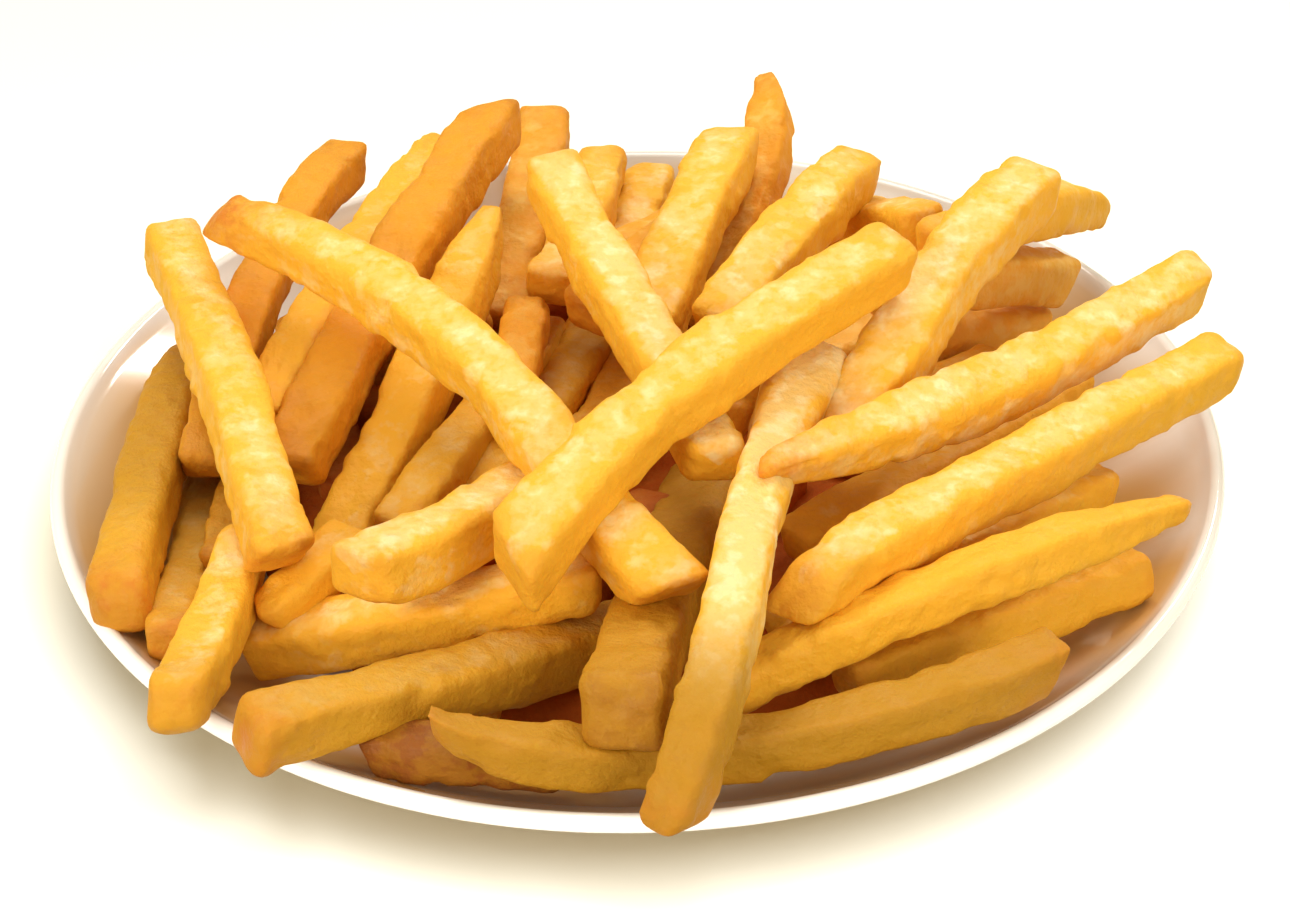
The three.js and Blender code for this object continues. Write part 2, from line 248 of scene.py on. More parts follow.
def fry(stick, seed, coarse=1.0):
    """One fry: its points in millimetres, its faces, and per point its marks of tone, browning, painted light
    and shade.
    """
    draw = random.Random(seed)
    path, width = stick["path"], stick["width"]
    thick = width * stick.get("thick", draw.uniform(0.92, 1.0))
    start, finish = stick.get("start", PLAIN_END), stick.get("finish", PLAIN_END)
    rough, _ = centre_curve(path, np.linspace(0, 1, 40))
    rough_length = np.linalg.norm(np.diff(rough, axis=0), axis=1).sum()
    rings = max(FEWEST_RINGS, int(rough_length / (RING_STEP * coarse)))
    around = int(AROUND / coarse) // 4 * 4
    shares = np.linspace(0, 1, rings)
    places, along = centre_curve(path, shares)
    gone = np.append(0, np.cumsum(np.linalg.norm(np.diff(places, axis=0), axis=1)))
    length = gone[-1]
    side = np.cross(along, (0, 0, 1))
    side /= np.linalg.norm(side, axis=1)[:, None]
    over = np.cross(side, along)
    twist = stick.get("twist", draw.uniform(-8, 8))
    angle = np.radians(stick["turn"] + twist * (shares - 0.5))
    c, s = np.cos(angle)[:, None], np.sin(angle)[:, None]
    side, over = side * c + np.cross(along, side) * s, over * c + np.cross(along, over) * s

    # The section is a rounded square, a little out of true, whose faces sink between their edges.
    power = draw.uniform(4.2, 6.2)
    theta = 2 * math.pi * (np.arange(around) + 0.5) / around
    cos, sin = np.cos(theta), np.sin(theta)
    reach = (np.abs(cos) ** power + np.abs(sin) ** power) ** (-1 / power)
    edge = smooth_step(EDGE_FROM, EDGE_TO, reach)
    reach = reach * (1 - FACE_SINK * np.cos(2 * theta) ** 2)
    x, y = reach * cos, reach * sin
    x = x + draw.uniform(-SKEW, SKEW) * y
    facing = np.stack([np.sign(cos) * np.abs(x) ** (power - 1), np.sign(sin) * np.abs(y) ** (power - 1)])
    facing /= np.linalg.norm(facing, axis=0)
    # Face tones make the top paler than the sides: painted light from above, partly the crust's own tone.
    tones_and_light = [tone_and_light + draw.uniform(-TONE_SPREAD, TONE_SPREAD) for tone_and_light in stick.get("tones_and_light", FACE_TONES_AND_LIGHT)]
    face_tone_and_light = tones_and_light[0] * np.maximum(facing[0], 0) ** 2 + tones_and_light[2] * np.maximum(-facing[0], 0) ** 2
    face_tone_and_light += tones_and_light[1] * np.maximum(facing[1], 0) ** 2 + tones_and_light[3] * np.maximum(-facing[1], 0) ** 2

    # Along the fry it swells and bends slowly, and its ends are blunt or drawn to a point.
    knots = np.stack([shares * length / SWELL_LENGTH, np.full(rings, seed * 3.7), np.zeros(rings)], 1)
    swell_x = 1 + SWELL * lattice_noise(knots, 1.0, 11)
    swell_y = 1 + SWELL * lattice_noise(knots + (0, 0, 5), 1.0, 12)
    places = places + side * (BOW * lattice_noise(knots + (0, 0, 9), BOW_LENGTH, 13))[:, None]
    places = places + over * (BOW * lattice_noise(knots + (0, 0, 17), BOW_LENGTH, 14))[:, None]
    taper = np.ones(rings)
    for size, from_end in ((start[0], shares), (finish[0], 1 - shares)):
        drawn = smooth_step(0, POINT_REACH, from_end)
        if size < 1:
            drawn = np.clip(from_end / POINT_REACH, 0, 1) ** 0.7
        taper = taper * (size + (1 - size) * drawn)

    # Rows run from the middle of the first cut face, over its rounded corner, along the body, to the last.
    rows, margin = [], []
    for soft, ring, way in ((start[3], 0, -1), (finish[3], rings - 1, 1)):
        soft = min(soft, width * taper[ring] * CORNER_MOST)
        margin.append(soft + 0.2)
        inset = soft / (width / 2 * taper[ring])
        cap = []
        for k in range(CAP_RINGS - 1, 0, -1):
            cap.append((ring, (1 - inset) * (1 - k / CAP_RINGS), way * soft * CAP_DOME * k / CAP_RINGS))
        for k in range(CORNER_RINGS, 0, -1):
            bend = k / CORNER_RINGS * math.pi / 2
            cap.append((ring, 1 - inset * (1 - math.cos(bend)), -way * soft * (1 - math.sin(bend))))
        rows.append(cap if way < 0 else cap[::-1])
    body = [(i, 1.0, 0.0) for i in range(rings) if margin[0] < gone[i] < length - margin[1]]
    rows = rows[0] + body + rows[1]

    ring = np.array([row[0] for row in rows])
    scale = np.array([row[1] for row in rows])[:, None]
    push = np.array([row[2] for row in rows])
    at = gone[ring] + push
    px = x[None] * (width / 2 * taper * swell_x)[ring][:, None] * scale
    py = y[None] * (thick / 2 * taper * swell_y)[ring][:, None] * scale
    shift = np.zeros_like(px)
    for (size, slant, under, soft), distance in ((start, at), (finish, length - at)):
        way = -1 if distance is at else 1
        fade = max(0.8 * width, 0.75 * width * (abs(slant) + abs(under)))
        near = np.exp(-(distance / fade) ** 2)[:, None]
        shift = shift + near * (slant * px + way * under * py)
    points = places[ring][:, None] + along[ring][:, None] * (push[:, None] + shift)[:, :, None]
    points = points + side[ring][:, None] * px[:, :, None] + over[ring][:, None] * py[:, :, None]
    distance = np.minimum(at, length - at)
    near_end = np.exp(-np.maximum(distance, 0)[:, None] / (width * END_BROWNING)) * np.ones_like(px)
    near_end = np.maximum(near_end, 1 - scale ** 3)
    near_edge = edge[None] * smooth_step(0.5, 1.0, scale)
    outward = side[ring][:, None] * facing[0][None, :, None] + over[ring][:, None] * facing[1][None, :, None]
    cap_part = (1 - smooth_step(0.6, 1.0, scale))[:, :, None]
    cap_way = np.where(ring < rings / 2, -1, 1)[:, None, None] * along[ring][:, None]
    outward = outward * (1 - cap_part) + cap_way * cap_part
    start_share = np.clip(at / length, 0, 1)
    ends = stick.get("burn", (0.15, 0.15))
    burn = stick.get("brown", 0.0) + ends[0] * np.clip(1 - start_share / END_BURN, 0, 1) ** 2
    burn = burn + ends[1] * np.clip(1 - (1 - start_share) / END_BURN, 0, 1) ** 2
    # Painted shade: darker colour on fries, or their ends, that lie in shade under others.
    painted_shade = stick.get("painted_shade", (0.0, 0.0))
    painted_shade = painted_shade[0] + (painted_shade[1] - painted_shade[0]) * smooth_step(SHADE_FROM, SHADE_TO, start_share)
    marks = {
        "near_end": near_end,
        "near_edge": near_edge * np.ones_like(px),
        "painted_shade": painted_shade[:, None] * np.ones_like(px),
        "tone_and_light": face_tone_and_light[None] * np.ones_like(px) + stick.get("tone_and_light", 0.0),
        "burn": burn[:, None] * np.ones_like(px)}
    points, outward = points.reshape(-1, 3), outward.reshape(-1, 3)

    # Slow dents, lumps, worn edges, and small blisters where the crust lifted.
    own = points + seed * 7.3
    relief = sum(depth * lattice_noise(own, size, lot) for depth, size, lot in DENTS)
    relief -= near_edge.ravel() * EDGE_WEAR * np.maximum(0, lattice_noise(own, EDGE_WEAR_SIZE, 6))
    blister = np.maximum(0, lattice_noise(own, BLISTER_SIZE, 4) - BLISTER_FROM) * BLISTER_HEIGHT
    blister *= np.clip(lattice_noise(own, BLISTER_FIELD_SIZE, 5) * 2 + 0.6, 0, 1)
    points = points + outward * (relief + blister)[:, None]

    first, last = points[:around].mean(0), points[-around:].mean(0)
    count = len(points)
    points = np.vstack([points, first, last])
    row_start = np.arange(len(rows) - 1)[:, None] * around
    j = np.arange(around)[None]
    here, there = row_start + j, row_start + (j + 1) % around
    faces = np.stack([here, there, there + around, here + around], 2).reshape(-1, 4).tolist()
    j = np.arange(around)
    tail = count - around
    faces += np.stack([j, np.full(around, count), (j + 1) % around], 1).tolist()
    faces += np.stack([tail + j, tail + (j + 1) % around, np.full(around, count + 1)], 1).tolist()
    whole = {}
    for label, values in marks.items():
        whole[label] = np.append(values.ravel(), (values[0].mean(), values[-1].mean()))
    return points, faces, whole


def joined_fries(name, fries, coarse=1.0):
    """Many fries in one mesh, with what their material needs to know of each point."""
    all_points, all_faces, all_marks = [], [], {}
    base = 0
    for seed, stick in fries:
        points, faces, marks = fry(stick, seed, coarse)
        all_points.append(points)
        all_faces += [[corner + base for corner in face] for face in faces]
        base += len(points)
        for label, values in marks.items():
            all_marks.setdefault(label, []).append(values)
    piece = make_object(name, (np.vstack(all_points) * MM).tolist(), all_faces)
    for label, values in all_marks.items():
        attribute = piece.data.attributes.new(label, "FLOAT", "POINT")
        attribute.data.foreach_set("value", np.concatenate(values).astype(np.float32))
    return piece


def crust_group():
    """Colour, roughness and relief of a fried crust, from its five colours, one a painted shade, and the
    marks on the mesh.
    """
    group = bpy.data.node_groups.new("fried_crust", "ShaderNodeTree")
    interface = group.interface
    for label in ("Cream", "Pale", "Gold", "Brown", "PaintedShade"):
        interface.new_socket(label, in_out="INPUT", socket_type="NodeSocketColor")
    interface.new_socket("Browning", in_out="INPUT", socket_type="NodeSocketFloat")
    interface.new_socket("Colour", in_out="OUTPUT", socket_type="NodeSocketColor")
    interface.new_socket("Roughness", in_out="OUTPUT", socket_type="NodeSocketFloat")
    interface.new_socket("Height", in_out="OUTPUT", socket_type="NodeSocketFloat")
    nodes, links = group.nodes, group.links
    inputs = nodes.new("NodeGroupInput")
    outputs = nodes.new("NodeGroupOutput")
    place = nodes.new("ShaderNodeTexCoord")

    def noise(scale, detail, roughness=0.5):
        node = nodes.new("ShaderNodeTexNoise")
        node.inputs["Scale"].default_value = scale
        node.inputs["Detail"].default_value = detail
        node.inputs["Roughness"].default_value = roughness
        links.new(place.outputs["Object"], node.inputs["Vector"])
        return node.outputs["Fac"]

    def mark(label):
        node = nodes.new("ShaderNodeAttribute")
        node.attribute_name = label
        return node.outputs["Fac"]

    def maths(operation, a, b):
        node = nodes.new("ShaderNodeMath")
        node.operation = operation
        for socket, value in zip(node.inputs, (a, b)):
            if isinstance(value, (int, float)):
                socket.default_value = value
            else:
                links.new(value, socket)
        return node.outputs["Value"]

    def spread(value, low, high, out_low, out_high):
        node = nodes.new("ShaderNodeMapRange")
        node.interpolation_type = "SMOOTHSTEP"
        links.new(value, node.inputs["Value"])
        node.inputs["From Min"].default_value = low
        node.inputs["From Max"].default_value = high
        node.inputs["To Min"].default_value = out_low
        node.inputs["To Max"].default_value = out_high
        return node.outputs["Result"]

    def blend(share, a, b):
        node = nodes.new("ShaderNodeMix")
        node.data_type = "RGBA"
        links.new(share, node.inputs["Factor"])
        links.new(a, node.inputs["A"])
        links.new(b, node.inputs["B"])
        return node.outputs["Result"]

    patches = spread(noise(85, 3), 0.40, 0.64, 0, 0.45)
    blotches = spread(noise(230, 2), 0.42, 0.60, 0, 0.45)
    speckle = spread(noise(720, 2), 0.44, 0.66, 0, 0.28)
    golden = maths("ADD", maths("ADD", patches, blotches), speckle)
    worn = maths("MULTIPLY", mark("near_edge"), spread(noise(190, 3), 0.36, 0.62, 0, 0.75))
    golden = maths("ADD", golden, worn)
    golden = maths("ADD", golden, maths("MULTIPLY", mark("near_end"), 0.45))
    # The tone mark carries the paler top face, which is partly painted light.
    golden = maths("ADD", golden, mark("tone_and_light"))
    clamp = nodes.new("ShaderNodeClamp")
    links.new(golden, clamp.inputs["Value"])
    flecks = spread(noise(260, 3), 0.46, 0.62, 0, 0.9)
    pale = blend(flecks, inputs.outputs["Pale"], inputs.outputs["Cream"])
    colour = blend(clamp.outputs["Result"], pale, inputs.outputs["Gold"])
    streaks = spread(noise(210, 4, 0.6), 0.40, 0.72, 0, 1)
    brown = maths("ADD", mark("burn"), maths("MULTIPLY", mark("near_end"), 0.25))
    brown = maths("ADD", brown, maths("MULTIPLY", mark("near_edge"), 0.06))
    brown = maths("ADD", brown, inputs.outputs["Browning"])
    brown = maths("MULTIPLY", brown, maths("ADD", maths("MULTIPLY", streaks, 0.7), 0.55))
    # Painted shade: the colour goes to the shade colour by the shade mark.
    colour = blend(mark("painted_shade"), colour, inputs.outputs["PaintedShade"])
    brown_clamp = nodes.new("ShaderNodeClamp")
    links.new(brown, brown_clamp.inputs["Value"])
    colour = blend(brown_clamp.outputs["Result"], colour, inputs.outputs["Brown"])
    links.new(colour, outputs.inputs["Colour"])
    links.new(spread(noise(260, 3), 0.35, 0.7, 0.5, 0.75), outputs.inputs["Roughness"])
    grain = maths("ADD", maths("MULTIPLY", noise(900, 3, 0.6), 0.6), maths("MULTIPLY", noise(330, 3), 1.0))
    links.new(grain, outputs.inputs["Height"])
    return group


CRUST = crust_group()


# Colour of painted shade, for fries that lie in shade.
PAINTED_SHADE_CRUST = (0.50, 0.25, 0.013)


def crust_material(name, cream, pale, gold, brown, browning, specular=0.35):
    """Fried potato crust: translucent, lightly oiled, mottled from cream to gold and brown."""
    material, tree, shader = new_material(name)
    shader.inputs["IOR"].default_value = 1.42
    shader.inputs["Subsurface Weight"].default_value = 0.3
    shader.inputs["Subsurface Radius"].default_value = (1.0, 0.6, 0.25)
    shader.inputs["Subsurface Scale"].default_value = 0.0012
    shader.inputs["Specular IOR Level"].default_value = specular
    crust = tree.nodes.new("ShaderNodeGroup")
    crust.node_tree = CRUST
    colours = {"Cream": cream, "Pale": pale, "Gold": gold, "Brown": brown, "PaintedShade": PAINTED_SHADE_CRUST}
    for label, colour in colours.items():
        crust.inputs[label].default_value = (*colour, 1)
    crust.inputs["Browning"].default_value = browning
    tree.links.new(crust.outputs["Colour"], shader.inputs["Base Color"])
    tree.links.new(crust.outputs["Roughness"], shader.inputs["Roughness"])
    bump = tree.nodes.new("ShaderNodeBump")
    bump.inputs["Strength"].default_value = 0.7
    bump.inputs["Distance"].default_value = 0.0007
    tree.links.new(crust.outputs["Height"], bump.inputs["Height"])
    tree.links.new(bump.outputs["Normal"], shader.inputs["Normal"])
    return material


def place_fries(piece, material):
    """Gives a piece its crust and its place in the frame."""
    piece.data.materials.append(material)
    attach(piece, "root")
    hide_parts("fries")


# Each fry gives the points its middle line passes through, in millimetres, its width, and its turn about
# its own length in degrees. Where they matter it also gives its start and finish: size against the middle,
# how far one side runs past the other, how far the top runs past the bottom, and rounding. Burn browns the
# two ends and brown the whole fry, the shade pair is painted shade at its start and its finish, tone is how
# golden the fry is, and the face tones are how golden its four faces are: right side, top, left side and
# bottom, the top paler than the sides partly as painted light from above.
PALE_FRIES = [
    dict(path=[(-19, -67, 46), (7, -36, 57), (44, -7, 64)], width=10.8, turn=11,
         start=(1.12, -0.6, -0.1, 2.2), finish=(0.92, 0.1, 0.2, 3.2), tone_and_light=0.12),
    dict(path=[(-72, 27, 54), (-35, -4, 51), (-15, -34, 47), (5, -65, 39)], width=10.4, turn=10,
         start=(0.72, 0.2, -0.9, 1.6), finish=(1.1, -0.35, 0.4, 1.6), tones_and_light=(0.36, 0, 0.36, 0.5),
         burn=(0.9, 0.1)),
    dict(path=[(-14, 35, 56), (0, -4, 50), (13, -41, 46)], width=9.8, turn=-3,
         start=(1, 0.1, 0.2, 1.8), finish=(1, -0.2, 0.05, 2.6), burn=(0.1, -0.3),
         tones_and_light=(0.65, -0.3, 0.65, 0.5)),
    dict(path=[(-83, 40, 41), (-69, -3, 40), (-56, -50, 36)], width=10, turn=-7,
         start=(1, 0, 0.2, 3.4), finish=(1, 0.25, 0.6, 1.7), burn=(0.05, 0.35), tones_and_light=(0.6, 0.12, 0.55, 0.5)),
    dict(path=[(70, 27, 57), (52, 0, 54), (34, -30, 43)], width=10.6, turn=-5,
         start=(0.96, 0.1, 0.2, 3.2), tones_and_light=(0.6, -0.2, 0.5, 0.5), burn=(0.05, 0.5)),
    dict(path=[(24, -68, 42), (61, -37, 41), (100, -3, 39)], width=9.8, turn=6,
         start=(0.9, 0.35, -1.0, 2.6), finish=(0.92, 0, 0.1, 3.8), burn=(0.2, 0.05)),
    dict(path=[(19, -50, 51), (60, -18, 45), (98, 17, 44)], width=9.6, turn=17,
         start=(0.4, -0.8, 0.5, 1.2), finish=(0.85, -0.3, 0.2, 3.4), burn=(1.0, 0.0),
         tones_and_light=(0.15, 0, 0.15, 0)),
    dict(path=[(29, -15, 47), (19, -51, 47), (12, -84, 43), (4, -104, 27)], width=9.2, turn=-4, twist=26,
         start=(1.45, 0, 0.2, 2.2), finish=(0.88, 0.1, 0.5, 1.8), burn=(0, 0.3), painted_shade=(-0.4, 1),
         tones_and_light=(0.2, -0.6, -0.1, 0.4)),
    dict(path=[(-43, -65, 44), (-30, -51, 40), (-15, -32, 37)], width=11, turn=-5, start=(1, 0.3, 0.2, 2.2),
         tones_and_light=(0.5, -0.3, 0.5, 0.3)),
    dict(path=[(-63, -35, 29), (-67, -60, 28), (-70, -82, 33)], width=9.2, turn=4, finish=(1, 0.1, 0.0, 2.8),
         tone_and_light=0.12, painted_shade=(0, 0.35)),
    dict(path=[(-25, 46, 43), (-36, 10, 32), (-51, -27, 17)], width=10.2, turn=4,
         start=(0.25, 0, 0.1, 2.6), tone_and_light=0.3, tones_and_light=(0.5, 0.1, 0.5, 0.5)),
    dict(path=[(18, 57, 48), (10, 31, 46), (2, 3, 42)], width=11.2, turn=2, start=(1, 0.2, 0.2, 1.8),
         tone_and_light=0.08),
    dict(path=[(41, 54, 44), (29, 30, 47), (14, 1, 44)], width=10.2, turn=-8,
         start=(1, 0.35, 0.2, 2.6), tone_and_light=0.08),
    dict(path=[(-35, 86, 31), (-49, 45, 35), (-63, -4, 31)], width=9.2, turn=0, tone_and_light=0.7),
    dict(path=[(4, 84, 25), (-2, 56, 25), (-11, 24, 20)], width=9.7, turn=0, tone_and_light=0.05),
]
GOLDEN_FRIES = [
    dict(path=[(9, -77, 27), (48, -62, 37), (87, -44, 38)], width=8.6, turn=-9,
         finish=(0.3, 0.1, 0.4, 1.4), burn=(0, 0.2), tone_and_light=0.9),
    dict(path=[(31, -68, 24), (55, -54, 23), (81, -42, 24)], width=9.2, turn=-14, finish=(1, 0.1, 0, 1.2),
         tone_and_light=0.5, painted_shade=(0.2, 0.2)),
    dict(path=[(77, 14, 22), (55, -9, 25), (25, -37, 27)], width=9, turn=0, tone_and_light=0.3),
    dict(path=[(-46, -37, 29), (-53, -46, 28), (-59, -50, 25)], width=8, turn=0, tone_and_light=0.3),
    dict(path=[(78, -12, 20), (57, -36, 26), (34, -61, 30)], width=8.6, turn=0),
    dict(path=[(-31, -89, 35), (-6, -89, 27), (31, -83, 27), (62, -73, 31)], width=8.8, turn=-5,
         start=(0.3, 0, 1.6, 1.0), finish=(1, 0.1, 0.7, 1.4), tones_and_light=(0.9, 0.0, 0.9, 0.9), painted_shade=(1, 1)),
    dict(path=[(-62, -50, 19), (-38, -53, 26), (-6, -53, 34)], width=9.4, turn=3, start=(1, 0, -0.05, 1.2),
         tones_and_light=(0.42, -0.3, 0.38, 0.5), burn=(0.1, 0)),
    dict(path=[(-59, -88, 32), (-34, -74, 28), (0, -48, 19)], width=9.6, turn=2, start=(1.12, 0.1, -0.2, 2.3),
         tone_and_light=0.1, burn=(0.35, 0.1), painted_shade=(0.65, 0.65)),
    dict(path=[(10, -17, 12), (20, -39, 16), (30, -59, 23)], width=8, turn=0),
    dict(path=[(-79, 29, 22), (-82, -9, 25), (-83, -50, 27)], width=10.2, turn=8,
         finish=(1, -0.2, -0.35, 3.2), burn=(0.1, 0.5), tone_and_light=0.7, painted_shade=(0.9, 0.5)),
    dict(path=[(-74, 2, 16), (-74, -28, 18), (-74, -56, 25)], width=8, turn=0, burn=(0.5, 0.6),
         painted_shade=(0.6, 0.4)),
    dict(path=[(-16, 34, 23), (-28, -3, 27), (-40, -29, 25)], width=9.4, turn=6, tone_and_light=0.15,
         painted_shade=(0.35, 0.35)),
    dict(path=[(-6, 43, 20), (-16, 5, 24), (-29, -17, 22)], width=9.4, turn=0, painted_shade=(0.3, 0.3)),
    dict(path=[(-5, 78, 33), (-9, 53, 35), (-15, 27, 37)], width=9, turn=0, start=(1, 0.1, 0.2, 1.5)),
    dict(path=[(22, 77, 19), (38, 56, 32), (52, 33, 44)], width=9, turn=0),
    dict(path=[(85, 58, 32), (71, 37, 45), (51, 11, 53)], width=9, turn=0, start=(0.5, 0.8, 0.3, 1.0)),
]
BROWNED_FRIES = [
    dict(path=[(13, -5, 18), (4, -49, 28), (-3, -92, 37)], width=12, turn=6,
         finish=(1.1, -0.15, -0.1, 2.6), burn=(0, 0.12), tone_and_light=0.6, painted_shade=(1, 0.85)),
    # This fry, under the front ones, is browned and shaded all over as painted shade.
    dict(path=[(-41, -80, 23), (-28, -84, 24), (-11, -84, 22)], width=7.6, turn=0, brown=1.1, painted_shade=(1, 1)),
    dict(path=[(-54, 78, 35), (-66, 36, 35), (-73, -12, 27)], width=8.8, turn=-1, start=(1, 0, 0.2, 1.2),
         tone_and_light=1.0, painted_shade=(0.15, 0.35)),
    dict(path=[(-67, 19, 15), (-67, -12, 21), (-68, -35, 23)], width=8, turn=0, burn=(0.8, 0.3),
         painted_shade=(0.5, 0.5)),
    dict(path=[(-26, 73, 44), (-43, 28, 39), (-58, -16, 29)], width=10.6, turn=1, start=(1, 0.75, 0.3, 1.8),
         tone_and_light=0.9, painted_shade=(0.1, 0.3)),
    dict(path=[(-17, 98, 31), (-20, 68, 27), (-24, 38, 22)], width=10.4, turn=0, tones_and_light=(0.6, -0.2, 0.6, 0.5)),
    dict(path=[(25, 82, 49), (24, 58, 41), (12, 28, 28)], width=8.4, turn=18, start=(0.25, 0, 0.2, 1.0)),
    # These two, shaded at the back right, are made paler and less browned: painted light.
    dict(path=[(77, 41, 29), (61, 25, 39), (42, 6, 47)], width=9.6, turn=0, tone_and_light=-1.5, burn=(0, 0),
         brown=-0.2),
    dict(path=[(73, 38, 20), (47, 24, 27), (23, 7, 31)], width=10.2, turn=0, tone_and_light=-1.9, burn=(0, 0),
         brown=-0.2),
    dict(path=[(-19, 26, 33), (-20, 11, 33), (-22, -6, 30)], width=8.6, turn=0, tone_and_light=0.1),
]

pale_fries = joined_fries("pale_fries", list(enumerate(PALE_FRIES, 1)))
place_fries(pale_fries, crust_material(
    "pale_crust", cream=(0.93, 0.74, 0.38), pale=(0.90, 0.62, 0.21),
    gold=(0.89, 0.48, 0.035), brown=(0.66, 0.22, 0.02), browning=0.0))
golden_fries = joined_fries("golden_fries", list(enumerate(GOLDEN_FRIES, 31)))
place_fries(golden_fries, crust_material(
    "golden_crust", cream=(0.92, 0.68, 0.28), pale=(0.88, 0.56, 0.13),
    gold=(0.88, 0.46, 0.03), brown=(0.62, 0.19, 0.02), browning=0.02))
browned_fries = joined_fries("browned_fries", list(enumerate(BROWNED_FRIES, 61)))
place_fries(browned_fries, crust_material(
    "browned_crust", cream=(0.90, 0.55, 0.14), pale=(0.87, 0.46, 0.06),
    gold=(0.85, 0.36, 0.018), brown=(0.30, 0.095, 0.012), browning=0.08))


# ---------------------------------------------------------------------------
# Fries laid under the others, which show only in the gaps and from behind. They are laid at random from the
# plate upwards by the same rule as the solid heap, and kept where they only just touch what is there.
# ---------------------------------------------------------------------------
FILL_SEED = 20
FILL_TRIES = 24000
FILL_MOST = 34
FILL_WIDTH = 9.4
FILL_CLEARANCE = 8.8
FILL_SHORTEST = 30
FILL_LONGEST = 76
FILL_LOWEST = 11
FILL_HIGHEST = 44
FILL_STEEPEST = 0.5
FILL_SPREAD = 1.1
FILL_REACH = 86
FILL_FRONT = -10
FILL_BACKING = 60
FILL_HALF_DEPTH = 0.6
MOUND_RISE = 31
SHADE_NEAR, SHADE_FAR = 7, 22  # from a fry, where the painted shade on the glaze beside it is strongest and where it ends
SHADE_BELOW_LIP = 2.5


def seeded_random(seed):
    """The same run of numbers from 0 to 1 each time."""
    state = seed
    while True:
        state = (state * 1664525 + 1013904223) % 4294967296
        yield state / 4294967296


def laid_fries():
    """Straight fries laid wherever they fit, from the plate upwards."""
    draw = seeded_random(FILL_SEED)
    marks = np.linspace(0, 1, 17)
    lines = [centre_curve(stick["path"], marks)[0] for stick in PALE_FRIES + GOLDEN_FRIES + BROWNED_FRIES]
    laid = []
    for tries in range(FILL_TRIES):
        bearing = next(draw) * 2 * math.pi
        radius = FILL_REACH * math.sqrt(next(draw))
        heading = bearing + (next(draw) - 0.5) * 2 * FILL_SPREAD
        length = FILL_SHORTEST + (FILL_LONGEST - FILL_SHORTEST) * next(draw)
        slope = next(draw) * FILL_STEEPEST
        height = FILL_LOWEST + (FILL_HIGHEST - FILL_LOWEST) * (tries / FILL_TRIES)
        middle = np.array([radius * math.cos(bearing), radius * math.sin(bearing), height])
        reach = np.array([math.cos(heading), math.sin(heading), -slope])
        reach *= length / 2 / np.linalg.norm(reach)
        path = [middle - reach, middle, middle + reach]
        line = centre_curve(path, marks)[0]
        out = np.hypot(line[:, 0], line[:, 1])
        towards_back = np.clip((line[:, 1] - FILL_FRONT) / FILL_BACKING, 0, 1)
        roof = PLATE_HEIGHT + MOUND_RISE * (1 - (out / FILL_REACH) ** 2) * towards_back
        above = line[:, 2] > inside_height(out + FILL_WIDTH / 2) + FILL_WIDTH * FILL_HALF_DEPTH
        if not ((out < FILL_REACH) & (line[:, 2] < roof) & above).all():
            continue
        others = np.concatenate(lines)
        gaps = np.linalg.norm(others[:, None] - line[None], axis=2)
        if gaps.min() <= FILL_CLEARANCE:
            continue
        laid.append(dict(path=[tuple(p) for p in path], width=FILL_WIDTH, turn=0, tone_and_light=0.1))
        lines.append(line)
        if len(laid) == FILL_MOST:
            break
    return laid


laid = laid_fries()
under_fries = joined_fries("under_fries", list(enumerate(laid, 101)), coarse=1.5)
# These fries are a little darker and browner than the golden ones, as painted shade deep in the heap.
place_fries(under_fries, crust_material(
    "under_crust", cream=(0.90, 0.60, 0.18), pale=(0.86, 0.50, 0.07),
    gold=(0.83, 0.39, 0.025), brown=(0.55, 0.16, 0.02), browning=0.05))


# Painted shade and painted reflection: the glaze next to the fries is coloured warm and dark, like their
# shade and reflected colour on it.
plate_points = np.array([vertex.co for vertex in plate.data.vertices]) / MM
placed_points = np.concatenate([
    centre_curve(stick["path"], np.linspace(0, 1, 30))[0]
    for stick in PALE_FRIES + GOLDEN_FRIES + BROWNED_FRIES])
nearest = np.full(len(plate_points), 1000.0)
for line in np.array_split(placed_points, 30):
    nearest = np.minimum(nearest, np.linalg.norm(plate_points[:, None] - line[None], axis=2).min(1))
food_shade_and_reflection = smooth_step(SHADE_FAR, SHADE_NEAR, nearest)
food_shade_and_reflection *= smooth_step(PLATE_HEIGHT, PLATE_HEIGHT - SHADE_BELOW_LIP, plate_points[:, 2])
inside = plate_points[:, 2] > inside_height(np.hypot(plate_points[:, 0], plate_points[:, 1])) - 0.1
near_mark = plate.data.attributes.new("food_shade_and_reflection", "FLOAT", "POINT")
near_mark.data.foreach_set("value", (food_shade_and_reflection * inside).astype(np.float32))


# ---------------------------------------------------------------------------
# Core of the heap: a low lumpy mound with short broken fries bedded in it, coloured dark as painted shade.
# It closes the view through the gaps.
# ---------------------------------------------------------------------------
CORE_RADIUS = 66
CORE_BASE = 7.5
CORE_SKIRT = 4
CORE_RISE = 12
BROKEN_SEED = 7
BROKEN_TRIES = 5000
BROKEN_MOST = 40
BROKEN_WIDTH = 8.6
BROKEN_CLEARANCE = 7.2
BROKEN_SHORTEST = 16
BROKEN_LONGEST = 40
BROKEN_LIFT = 1.0
CORE_SEGMENTS = 72
CORE_LUMPS = ((1.6, 9, 21), (0.8, 4, 22))  # height, size and seed


def core_height(out):
    """Height of the mound at a distance from its middle."""
    return CORE_BASE + CORE_SKIRT + CORE_RISE * math.sqrt(max(0, 1 - (out / CORE_RADIUS) ** 2))


